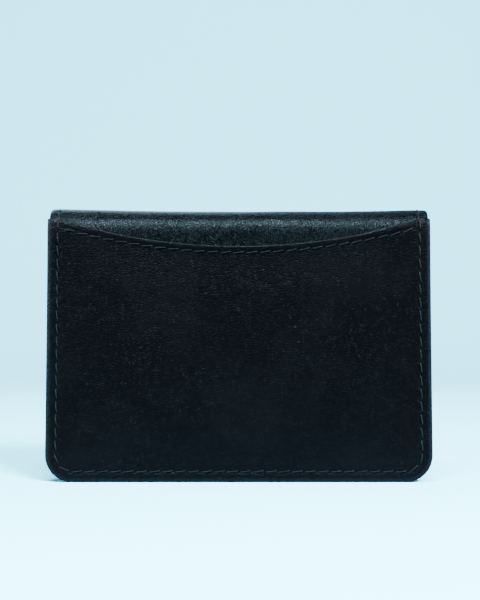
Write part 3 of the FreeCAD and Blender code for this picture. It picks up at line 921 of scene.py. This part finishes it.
def creases(x, s):
    """Two shallow creases that run slantwise over the pocket, and a rubbed hollow under its mouth."""
    first = bump((x - 6) * 0.75 + (s - 56) * 0.66, 0.6) * bump(x - 18, 13)
    second = bump((x - 36) * 0.70 - (s - 60) * 0.71, 0.6) * bump(x - 28, 9)
    return 0.06 * first + 0.05 * second + 0.05 * bump(x - 3, 4) * bump(s - 55, 3)


def belly(rim, mouth):
    return BELLY * smooth((rim - 3) / 14) * smooth((mouth - 2) / 12)


def mouth_lift(x, mouth):
    return MOUTH_LIFT * bump(mouth, 1.6) * np.clip(1 - (x / MOUTH_HALF) ** 2, 0, 1)


def pocket_outside(x, s, distance):
    mouth = np.maximum(below_mouth(x, s), 0)
    rim = from_edge(x, s, POCKET_GROW)
    r = POCKET_FACE + belly(rim, mouth) * (1 - 0.4 * (x / HALF_TOP) ** 2)
    r = r + mouth_lift(x, mouth) + HEM_RIDGE * (1 - smooth((mouth - MOUTH_SEAM) / 0.7))
    r = r + 0.10 * waver(x, s, 16, 1.0) + 0.05 * waver(x, s, 6, 2.0)
    r = r - creases(x, s)
    r = r - 0.16 * bump(rim - SEAM_IN - POCKET_GROW, 0.5) - 0.12 * bump(mouth - MOUTH_SEAM, 0.4)
    r = r - puckers(x, s, seam_holes) - puckers(x, s, mouth_holes, 0.16, 0.45)
    return np.minimum(
        turned(r, POCKET_MIDDLE - 0.3, rim, 1.5), turned(r, POCKET_MIDDLE + 0.1, mouth, 0.35)
    )


def pocket_inside(x, s, distance):
    mouth = np.maximum(below_mouth(x, s), 0)
    rim = from_edge(x, s, POCKET_GROW)
    hem = SHELL + 0.05 + (POCKET_BACK - SHELL) * smooth((rim - HEM) / 1.5)
    hem = hem + belly(rim, mouth) + mouth_lift(x, mouth)
    return np.maximum(
        turned(hem, POCKET_MIDDLE - 0.3, rim, 0.6), turned(hem, POCKET_MIDDLE + 0.1, mouth, 0.25)
    )


pocket_rows = spread(0, POCKET_TOP, 0.75, EDGE_STEPS, EDGE_STEPS[:15])
slip_pocket = cut(
    "slip_pocket", cover_columns(0.72), pocket_rows, pocket_outline, pocket_outside, pocket_inside,
    pocket_edge,
)
dress(slip_pocket, pocket_leather, ["slip_pocket_face", "slip_pocket_hem"])
bend_over_fold(slip_pocket)

# %% [markdown]
# The mouth's edge isn't left raw. The leather is folded back and glued before the line of stitches
# goes through both layers. The folded part can't be seen from the front except as the ridge it
# raises, so a thin strip of its own that follows the mouth's curve is enough.

# %% Hem behind the mouth
HEM_START = 0.3  # below the mouth
HEM_DEPTH = 5.5


def hem_outline(u, v):
    x = u * (HALF_TOP - HEM)
    return x, POCKET_TOP - mouth_dip(x) - v


def hem_edge(x, s):
    depth = below_mouth(x, s)
    to_long_sides = np.minimum(depth - HEM_START, HEM_DEPTH - depth)
    return np.maximum(np.minimum(to_long_sides, HALF_TOP - HEM - np.abs(x)), 0)


mouth_hem = cut(
    "mouth_hem", np.linspace(-1, 1, 120), np.linspace(HEM_START, HEM_DEPTH, 14), hem_outline,
    level(POCKET_BACK - 0.02), level(SHELL + 0.08), hem_edge,
)
dress(mouth_hem, pocket_leather, ["slip_pocket_mouth_hem"])
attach(mouth_hem, "front_cover")

# %% [markdown]
# ## Card slots
#
# Each slot is a strip of thin leather with a creased line below its mouth. The lower slots lie on
# the upper ones, so their sides make three small steps along the cover's seam.

# %% Card slots
SLOT_IN = 1.0
slot_boxes = [box_mm(f"card_slot_{n}") for n in (1, 2, 3)]


def cut_slot(number, low, high):
    top = high[2]
    face, back = FOLD_Y - high[1], FOLD_Y - low[1]

    def below(x, s):
        return np.maximum(top - 0.5 * bump(x, 30) - s, 0)

    def edge(x, s):
        return np.minimum(inset_edge(SLOT_IN)(x, s), below(x, s))

    def outline(u, v):
        x, s = inset_outline(SLOT_IN)(u, v)
        return x, s - 0.5 * bump(x, 30) * np.clip((v - top + 12) / 12, 0, 1)

    def towards_cards(x, s, distance):
        r = face - 0.12 * smooth(inset_edge(SLOT_IN)(x, s) / 20) + 0.05 * waver(x, s, 14, 20.0 + number)
        r = r + 0.10 * bump(below(x, s) - 1.6, 0.3) + puckers(x, s, seam_holes, 0.15)
        return turned(r, (face + back) / 2, distance, 0.35)

    rows = spread(SLOT_IN, top, 1.0, EDGE_STEPS[:15], EDGE_STEPS[:12])
    slot = cut(
        f"card_slot_leather_{number}", cover_columns(1.1), rows, outline,
        level(back - 0.02, middle=(face + back) / 2, radius=0.2), towards_cards, edge,
    )
    dress(slot, slot_leather, [f"card_slot_{number}"])
    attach(slot, "front_cover")


for number, (low, high) in enumerate(slot_boxes, start=1):
    cut_slot(number, low, high)

# %% [markdown]
# ## Bellows pocket
#
# The wall of the bellows pocket is flat leather with a thumb notch, lined behind. The strip that
# joins it to the cover is one folded section that is carried down one side, round two corners and
# up the other. Extrude makes the straight runs and spin makes the corners.

# %% Wall of the bellows pocket
WALL_HALF = wall_high[0]
WALL_BASE, WALL_TOP = wall_low[2], wall_high[2]
WALL_CORNER = 3.4
WALL_FACE, WALL_BACK = FOLD_Y - wall_low[1], FOLD_Y - wall_high[1]
NOTCH_RADIUS = 13.0
NOTCH_DEPTH = 8.0
WALL_SEAM = 2.2


def notch(x):
    reach = np.sqrt(np.clip(NOTCH_RADIUS**2 - x**2, 0, None))
    return np.clip(reach - (NOTCH_RADIUS - NOTCH_DEPTH), 0, None)


def wall_from_edge(x, s):
    side, low = WALL_HALF - np.abs(x), s - WALL_BASE
    in_corner = (side < WALL_CORNER) & (low < WALL_CORNER)
    round_part = WALL_CORNER - np.hypot(WALL_CORNER - side, WALL_CORNER - low)
    return np.where(in_corner, round_part, np.minimum(side, low))


def wall_from_mouth(x, s):
    slope = np.where(notch(x) > 0, x / np.sqrt(np.clip(NOTCH_RADIUS**2 - x**2, 1, None)), 0)
    return (WALL_TOP - notch(x) - s) / np.sqrt(1 + slope**2)


def wall_edge(x, s):
    return np.maximum(np.minimum(wall_from_edge(x, s), wall_from_mouth(x, s)), 0)


def wall_outline(u, v):
    x = u * (WALL_HALF - pull_in(v - WALL_BASE, WALL_CORNER))
    follow = np.clip((v - WALL_TOP + 30) / 30, 0, 1)
    return x, v - notch(x) * follow


def wall_seam_route():
    top = np.linspace(WALL_TOP - 1, WALL_BASE + WALL_CORNER, 60)
    left = np.stack([np.full(60, WALL_SEAM - WALL_HALF), top], axis=-1)
    turn = np.linspace(0, math.pi / 2, 8)[1:]
    radius = WALL_CORNER - WALL_SEAM
    bend = left[-1] + (radius, 0) + radius * np.stack([-np.cos(turn), -np.sin(turn)], axis=-1)
    half = np.vstack([left, bend])
    return np.vstack([half, (half * (-1, 1))[::-1]])


wall_at, wall_heading = walk(wall_seam_route())
wall_holes = wall_at + wall_heading * PITCH / 2


def wall_surface(x, s, distance):
    r = WALL_FACE + 0.10 * smooth(distance / 15) + 0.05 * waver(x, s, 15, 30.0)
    r = r - puckers(x, s, wall_holes, 0.15)
    r = r - 0.08 * bump(wall_from_mouth(x, s) - 1.8, 0.3)
    return turned(r, (WALL_FACE + WALL_BACK) / 2, distance, 0.5)


def cut_wall(name, outer, inner, material, nodes):
    around = NOTCH_RADIUS + 1
    near_notch = np.linspace(-around, around, 57)
    sides = spread(-WALL_HALF, -around, 1.2, EDGE_STEPS[:15])
    columns = np.concatenate([sides[:-1], near_notch, -sides[:-1][::-1]]) / WALL_HALF
    rows = spread(WALL_BASE, WALL_TOP, 1.1, EDGE_STEPS[:15], EDGE_STEPS[:15])
    piece = cut(name, columns, rows, wall_outline, outer, inner, wall_edge)
    dress(piece, material, nodes)
    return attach(piece, "bellows_wall")


wall_middle = (WALL_FACE + WALL_BACK) / 2
cut_wall(
    "bellows_face", wall_surface, level(WALL_BACK, middle=wall_middle, radius=0.3),
    slot_leather, ["bellows_wall"],
)
bellows_lining = cut_wall(
    "bellows_lining", level(WALL_BACK - 0.02), level(WALL_BACK - 0.27),
    lining_cloth, ["bellows_wall_lining"],
)

# %% [markdown]
# The strip folds inwards when the pocket is empty and opens as cards push the wall out. Its section is drawn
# once, as a line of a few points with one crease. Extrude carries the line straight down, spin turns it round
# each lower corner, and Solidify gives it the leather's thickness. It rides on the back cover.

# %% Bellows strip
STRIP = 0.45  # thickness
CREASE = 2.2  # how far the crease tucks in
STRIP_TOP = WALL_TOP - 0.2


def strip_section():
    """The folded section at the top of the right side, as (in from the wall's side, y)."""
    front, back = gusset_low[1] + 0.02, gusset_high[1] - 0.02
    middle = (front + back) / 2
    reach = gusset_high[0] - WALL_HALF
    under_wall = [(2.5, front + STRIP / 2), (0.6, front + STRIP / 2), (0.25, front + 0.6)]
    crease = [(CREASE - 0.45, middle - 0.35), (CREASE - 0.2, middle), (CREASE - 0.45, middle + 0.35)]
    on_cover = [(0.25, back - 0.6), (-0.2, back - STRIP / 2), (-reach + 0.1, back - STRIP / 2)]
    line = under_wall + crease + on_cover
    return [Vector((WALL_HALF - inward, y, STRIP_TOP)) for inward, y in line]


def carry(bm, edges, run):
    """Extrudes a line of edges and returns the new line."""
    made = bmesh.ops.extrude_edge_only(bm, edges=edges)["geom"]
    verts = [g for g in made if isinstance(g, bmesh.types.BMVert)]
    bmesh.ops.translate(bm, verts=verts, vec=run)
    return [g for g in made if isinstance(g, bmesh.types.BMEdge)]


def turn_corner(bm, edges, centre, axis=(0, 1, 0), steps=12):
    """Spins a line of edges through a quarter turn and returns its last copy."""
    ends = {v for e in edges for v in e.verts}
    spun = bmesh.ops.spin(bm, geom=[*edges, *ends], cent=centre, axis=axis, angle=math.pi / 2, steps=steps)
    return [g for g in spun["geom_last"] if isinstance(g, bmesh.types.BMEdge)]


def make_strip():
    bm = bmesh.new()
    verts = [bm.verts.new(p) for p in strip_section()]
    edges = [bm.edges.new(pair) for pair in zip(verts, verts[1:])]
    straight = STRIP_TOP - WALL_BASE - WALL_CORNER
    across = 2 * (WALL_HALF - WALL_CORNER)
    steps = 30
    for _ in range(steps):
        edges = carry(bm, edges, (0, 0, -straight / steps))
    centre = Vector((WALL_HALF - WALL_CORNER, 0, WALL_BASE + WALL_CORNER))
    edges = turn_corner(bm, edges, centre)
    for _ in range(steps):
        edges = carry(bm, edges, (-across / steps, 0, 0))
    edges = turn_corner(bm, edges, Vector((-centre.x, 0, centre.z)))
    for _ in range(steps):
        edges = carry(bm, edges, (0, 0, straight / steps))
    bmesh.ops.remove_doubles(bm, verts=bm.verts, dist=0.01)
    bmesh.ops.recalc_face_normals(bm, faces=bm.faces)
    bmesh.ops.solidify(bm, geom=list(bm.faces), thickness=STRIP)
    bmesh.ops.transform(bm, matrix=Matrix.Scale(MM, 4), verts=bm.verts)
    mesh = take_out(bm, "bellows_strip")
    co = np.array([v.co for v in mesh.vertices]) / MM
    store(mesh, "hide", "FLOAT_VECTOR", co[:, [0, 2, 1]])
    store(mesh, "rim", "FLOAT", np.full(len(co), 5.0))
    strip = put_in_scene("bellows_strip", mesh)
    shade(mesh, 60)
    dress(strip, gusset_leather, ["bellows_gusset"])
    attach(strip, "back_cover")
    travel = next(j for j in frame["joints"] if j["name"] == "bellows_slide")["range_m"][1]
    depth = (gusset_high[1] - gusset_low[1]) * MM
    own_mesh(strip)
    flattens = f"flattens by {travel / MM:.1f} of {depth / MM:.1f} mm"
    print(f"bellows_strip: {len(mesh.polygons)} faces, {flattens}")


make_strip()

# %% [markdown]
# ## Stitches
#
# A stitch is a short length of twisted thread that comes up through one hole and goes down through
# the next. One stitch is modelled: a small ring is extruded step by step along a low arch. It is
# then copied along each seam, turned slightly across the seam, as the two threads of a lock stitch
# pull it.

# %% One stitch
THREAD = 0.17  # radius
ARCH = 0.10  # height of a stitch's middle over the leather
SUNK = 0.25  # depth of its ends in their holes
SLANT = math.radians(8)


def make_stitch():
    """A stitch along X, with its holes at both ends and its underside at z = 0, in millimetres."""
    reach, steps = PITCH * 0.42, 8
    bm = bmesh.new()
    ring = bmesh.ops.create_circle(bm, cap_ends=True, segments=6, radius=THREAD)["verts"]
    bmesh.ops.rotate(bm, verts=ring, cent=(0, 0, 0), matrix=Matrix.Rotation(math.pi / 2, 3, "Y"))
    bmesh.ops.translate(bm, verts=ring, vec=(-reach, 0, -SUNK))
    bm.faces.ensure_lookup_table()
    face = bm.faces[0]
    for step in range(1, steps + 1):
        t = step / steps
        x = reach * (2 * t - 1)
        z = -SUNK + (ARCH + SUNK) * (1 - (2 * t - 1) ** 4)
        made = bmesh.ops.extrude_face_region(bm, geom=[face])
        verts = [g for g in made["geom"] if isinstance(g, bmesh.types.BMVert)]
        old = sum((v.co for v in verts), Vector()) / len(verts)
        bmesh.ops.translate(bm, verts=verts, vec=Vector((x, 0, z)) - old)
        new_face = [g for g in made["geom"] if isinstance(g, bmesh.types.BMFace)][0]
        if face.is_valid and step > 1:
            bmesh.ops.delete(bm, geom=[face], context="FACES_ONLY")
        face = new_face
    bmesh.ops.recalc_face_normals(bm, faces=bm.faces)
    return take_out(bm, "stitch")


stitch = make_stitch()
print("one stitch has", len(stitch.polygons), "faces")

# %% [markdown]
# Each stitch is set down on the surface it holds. The surface's own function says how high it is, and two
# short steps along it and across it give the directions, so stitches climb over the fold without being told
# about it. Stitches of one seam are one object. A row on a flat body rides with it, and a row over the fold
# only has its transform baked and doesn't bend.

# %% Rows of stitches


def surface_frame(x, s, heading, height, side, outward):
    """Where a stitch lies: its middle, and its length, width and upward directions."""

    def point(a, b):
        a, b = np.array([a]), np.array([b])
        return Vector(lay(a, b, height(a, b), side)[0])

    middle, reach = point(x, s), 0.4
    along = point(x + heading[0] * reach, s + heading[1] * reach) - middle
    aside = point(x - heading[1] * reach, s + heading[0] * reach) - middle
    along.normalize()
    up = along.cross(aside).normalized()
    axis = Vector(lay(np.array([x]), np.array([s]), np.array([0.0]), side)[0])
    if (middle - axis).dot(up) * outward < 0:
        up = -up
    return middle, along, up.cross(along).normalized(), up


def sew(name, node, at, headings, height, side, outward):
    """node is the thread that the row replaces. height gives the distance from the fold's axis of
    the leather under a stitch."""
    bm = bmesh.new()
    hide = []
    pattern = [v.co.copy() for v in stitch.vertices]
    for number, ((x, s), heading) in enumerate(zip(at, headings)):
        middle, along, across, up = surface_frame(x, s, heading, height, side, outward)
        turn = SLANT * (1 + 0.4 * noise.noise(Vector((number * 1.7, s, 5.0))))
        length = along * math.cos(turn) + across * math.sin(turn)
        width = across * math.cos(turn) - along * math.sin(turn)
        place = Matrix((length, width, up)).transposed().to_4x4()
        place.translation = middle
        before = len(bm.verts)
        bm.from_mesh(stitch)
        bm.verts.ensure_lookup_table()
        bmesh.ops.transform(bm, matrix=Matrix.Scale(MM, 4) @ place, verts=bm.verts[before:])
        hide += [(p.x, math.atan2(p.z, p.y), number) for p in pattern]
    mesh = take_out(bm, name)
    store(mesh, "hide", "FLOAT_VECTOR", hide)
    mesh.shade_smooth()
    print(f"{name}: {len(at)} stitches")
    return dress(put_in_scene(name, mesh), waxed_thread, [node])


def on_shell(side):
    return lambda x, s: shell_surface(side)(x, s, from_edge(x, s)) + 0.02


def on_pocket(x, s):
    return pocket_outside(x, s, pocket_edge(x, s)) + 0.03


def inside_front(x, s):
    """The cloth or the topmost card slot under a stitch inside the front cover."""
    r = level(LINING_BACK, sagging=True)(x, s, None)
    for low, high in slot_boxes:
        r = np.where(s < high[2], FOLD_Y - high[1], r)
    return r


def inside_back(x, s):
    r = level(LINING_BACK, sagging=True)(x, s, None)
    return np.where(s < WALL_TOP, gusset_high[1] - FOLD_Y - STRIP, r)


def on_wall(x, s):
    return np.full_like(x, WALL_FACE + 0.02)


on_top = seam_at[:, 1] > POCKET_TOP - 1.2
whole_seam = (seam_at, seam_heading)
pocket_part = (seam_at[~on_top], seam_heading[~on_top])
fold_part = (seam_at[on_top], seam_heading[on_top])
mouth_part = (mouth_at, mouth_heading)
wall_part = (wall_at, wall_heading)
OUTER_BEND = HEM_BACK - SAG
INNER_BEND = LINING_BACK - SAG - 0.5
ROWS = [  # name, the thread it stands for, stitches, what is under them, side, outward, bend or body
    ("front_seam_outside", "front_seam_thread_outside", pocket_part, on_pocket, 1, 1, OUTER_BEND),
    ("fold_seam_outside", "spine_seam_thread_outside", fold_part, on_shell(1), 1, 1, OUTER_BEND),
    ("back_seam_outside", "back_seam_thread_outside", whole_seam, on_shell(-1), -1, 1, OUTER_BEND),
    ("front_seam_inside", "front_seam_thread_inside", whole_seam, inside_front, 1, -1, INNER_BEND),
    ("back_seam_inside", "back_seam_thread_inside", whole_seam, inside_back, -1, -1, INNER_BEND),
    ("mouth_seam", "slip_pocket_mouth_thread", mouth_part, on_pocket, 1, 1, "front_cover"),
    ("bellows_wall_seam", "bellows_wall_thread", wall_part, on_wall, 1, 1, "bellows_wall"),
]
for name, node, (at, headings), height, side, outward, held in ROWS:
    row = sew(name, node, at, headings, height, side, outward)
    if isinstance(held, str):
        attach(row, held)
    else:
        bend_over_fold(row)

# %% [markdown]
# ## Studio
#
# The holder stands on a pale, blue-tinted sweep of paper, extruded and spun from one edge so that floor and
# wall meet in a curve and no line shows. Polished black leather mirrors whatever is round it, and white paper
# would turn it grey. So Light Path lets the camera see bright paper, while the leather is lit by a much
# darker one. The strip of paper right at its foot lifts the lowest edge, and the slip pocket's painted edge
# sheen lifts it more.

# %% Paper sweep
PAPER_SEEN = (1.5, 4.7, 5.2)
PAPER_FELT = (0.05, 0.07, 0.085)
PAPER_NEAR = (0.22, 0.32, 0.42)


def make_paper():
    """Paper that the camera sees overexposed, while it throws little light on the leather."""
    material = bpy.data.materials.new("studio_paper")
    material.use_nodes = True
    tree = material.node_tree
    tree.nodes.remove(tree.nodes["Principled BSDF"])
    where = add(tree, "ShaderNodeTexCoord").outputs["Object"]
    tooth = noisy(tree, where, 3.0, 2.0)
    seen = blend_colour(tree, tooth, (*PAPER_SEEN, 1), (*[c * 1.04 for c in PAPER_SEEN], 1))
    forward = add(tree, "ShaderNodeSeparateXYZ", {0: where}).outputs[1]
    felt = blend_colour(tree, remap(tree, forward, -0.10, -0.03), (*PAPER_FELT, 1), (*PAPER_NEAR, 1))
    path = add(tree, "ShaderNodeLightPath").outputs["Is Camera Ray"]
    diffuse = add(tree, "ShaderNodeBsdfDiffuse", {"Color": blend_colour(tree, path, felt, seen)})
    tree.links.new(diffuse.outputs[0], tree.nodes["Material Output"].inputs["Surface"])
    return material


def make_sweep():
    bm = bmesh.new()
    front, bend_at, radius, wall, width = -1.2, 0.55, 0.45, 1.6, 2.4
    near = [bm.verts.new((x, front, 0)) for x in (-width, width)]
    edges = carry(bm, [bm.edges.new(near)], (0, bend_at - front, 0))
    edges = turn_corner(bm, edges, (0, bend_at, radius), axis=(1, 0, 0), steps=24)
    carry(bm, edges, (0, 0, wall))
    bmesh.ops.remove_doubles(bm, verts=bm.verts, dist=1e-5)
    bmesh.ops.recalc_face_normals(bm, faces=bm.faces)
    mesh = take_out(bm, "paper_sweep")
    mesh.shade_smooth()
    sweep = put_in_scene("paper_sweep", mesh)
    sweep.data.materials.append(make_paper())
    return sweep


sweep = make_sweep()
print("paper_sweep:", len(sweep.data.polygons), "faces")

# %% [markdown]
# One soft light high in front puts a long highlight on the fold and leaves the upright pocket dark.
# Two wide, weak lights at the sides and one behind draw the edges. Light linking keeps those off the
# paper, where they would cast shadows of their own, and gives the paper two lights that the leather
# doesn't see.

# %% Lights and world


LAMP_COLOUR = (0.51, 0.82, 1.0)
LAMPS = [  # name, place, target, size, watts, and what light linking does with the paper
    ("front_softbox", (-0.06, -0.44, 0.74), (0, 0, 0.05), (0.30, 0.34), 6.2, None),
    ("paper_light", (0.30, -0.66, 0.50), (0, 0, 0), (0.26, 0.20), 14.0, "INCLUDE"),
    ("wall_wash", (0.0, 0.17, 0.5), (0, 0.75, 0.02), (1.4, 0.2), 2.0, "INCLUDE"),
    ("left_strip", (-0.70, -0.15, 0.30), (0, 0, 0.05), (0.5, 0.5), 4.0, "EXCLUDE"),
    ("right_strip", (0.70, -0.15, 0.30), (0, 0, 0.05), (0.5, 0.5), 4.0, "EXCLUDE"),
    ("back_softbox", (-0.2, 0.60, 0.42), (0, 0, 0.04), (0.5, 0.4), 1.6, "EXCLUDE"),
]


def soft_light(name, place, target, size, power):
    light = bpy.data.lights.new(name, "AREA")
    light.shape = "RECTANGLE"
    light.size, light.size_y = size
    light.energy = power
    light.color = LAMP_COLOUR
    lamp = put_in_scene(name, light)
    lamp.location = place
    lamp.rotation_euler = (Vector(target) - Vector(place)).to_track_quat("-Z", "Y").to_euler()
    return lamp


def link_paper(lamp, state):
    """INCLUDE makes a lamp light only the paper, EXCLUDE makes it leave the paper out."""
    chosen = bpy.data.collections.new(f"{lamp.name}_paper")
    chosen.objects.link(sweep)
    chosen.collection_objects[0].light_linking.link_state = state
    lamp.light_linking.receiver_collection = chosen
    print(f"{lamp.name}: {lamp.data.energy} W, paper {state.lower()}d")


for *settings, state in LAMPS:
    lamp = soft_light(*settings)
    if state:
        link_paper(lamp, state)


def make_world():
    """Dim air for the leather, and pale air for the camera where the paper ends."""
    world = bpy.data.worlds.new("studio_air")
    bpy.context.scene.world = world
    world.use_nodes = True
    tree = world.node_tree
    path = add(tree, "ShaderNodeLightPath").outputs["Is Camera Ray"]
    colour = blend_colour(tree, path, (0.0105, 0.0120, 0.0130, 1), (0.9, 2.5, 3.0, 1))
    tree.links.new(colour, tree.nodes["Background"].inputs["Color"])


make_world()

# %% [markdown]
# ## Camera
#
# The camera stands almost level with the holder and square to it. A long lens from nearly half a
# metre keeps the sides parallel, as a product picture is usually taken.

# %% Camera
LENS = 100.0
DISTANCE = 0.4489
EYE_HEIGHT = 0.0492

camera = bpy.data.cameras.new("camera")
camera.lens = LENS
camera.sensor_width = 36.0
viewer = put_in_scene("camera", camera)
viewer.location = (0.0003, pocket_low[1] * MM - DISTANCE, EYE_HEIGHT)
viewer.rotation_euler = (math.pi / 2, 0, 0)
bpy.context.scene.camera = viewer
print(f"camera {DISTANCE * 1000:.0f} mm in front, {EYE_HEIGHT * 1000:.0f} mm up, {LENS:.0f} mm lens")
